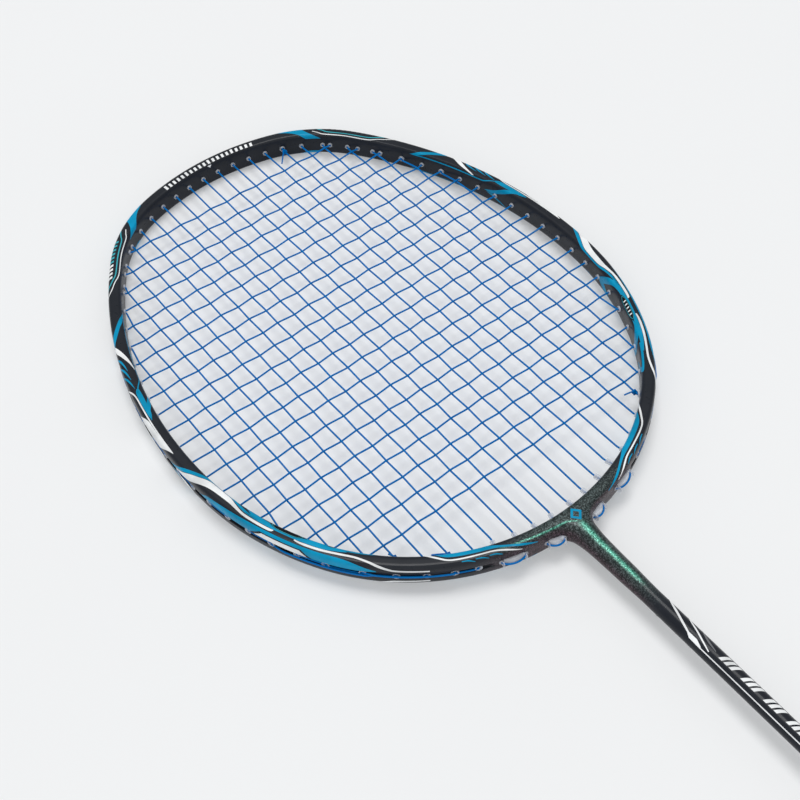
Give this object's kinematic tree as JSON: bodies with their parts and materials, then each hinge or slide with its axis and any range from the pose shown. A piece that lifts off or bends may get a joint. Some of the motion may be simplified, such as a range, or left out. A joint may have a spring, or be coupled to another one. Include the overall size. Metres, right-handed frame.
{
  "type": "badminton racket",
  "caption": "Strung badminton racket: hollow egg-shaped head, moulded throat, slim round shaft, cone and flared octagonal handle with a wrapped grip.",
  "frame": {"origin": "centre of the flat face at the butt end of the handle", "axes": "+Y along the shaft towards the tip of the head, +X across the head, +Z square to the strings"},
  "size_m": [0.2051, 0.6753, 0.0298],
  "materials": {
    "frame_paint": "gloss black paint over carbon fibre, with blue and white bands",
    "throat_paint": "colour-shifting metal-flake paint under gloss clear coat",
    "joint_metal": "plain, hidden inside the throat",
    "shaft_paint": "gloss black paint over carbon fibre",
    "cone_plastic": "satin black",
    "handle_wood": "plain sanded hardwood",
    "grip": "soft perforated polyurethane wrap",
    "tape": "smooth adhesive tape",
    "cap_plastic": "fine grain",
    "disc_plastic": "gloss",
    "clear_plastic": "clear nylon",
    "string": "satin blue multifilament with a smooth coat"
  },
  "bodies": {
    "root": {"head_frame": "frame_paint", "throat_moulding": "throat_paint", "t_joint": "joint_metal", "shaft": "shaft_paint", "cone": "cone_plastic", "handle_core": "handle_wood", "grip_wrap": "grip", "grip_tape": "tape", "butt_cap": "cap_plastic", "butt_disc": "disc_plastic", "tip_grommets": "clear_plastic", "left_shoulder_grommets": "clear_plastic", "right_shoulder_grommets": "clear_plastic", "left_side_grommets": "clear_plastic", "right_side_grommets": "clear_plastic", "left_cheek_grommets": "clear_plastic", "right_cheek_grommets": "clear_plastic", "shared_grommets": "clear_plastic", "tie_off_grommets": "clear_plastic", "bridge_grommets": "clear_plastic", "main_string": "string", "cross_string": "string", "main_knots": "string", "cross_knots": "string"}
  },
  "joints": []
}
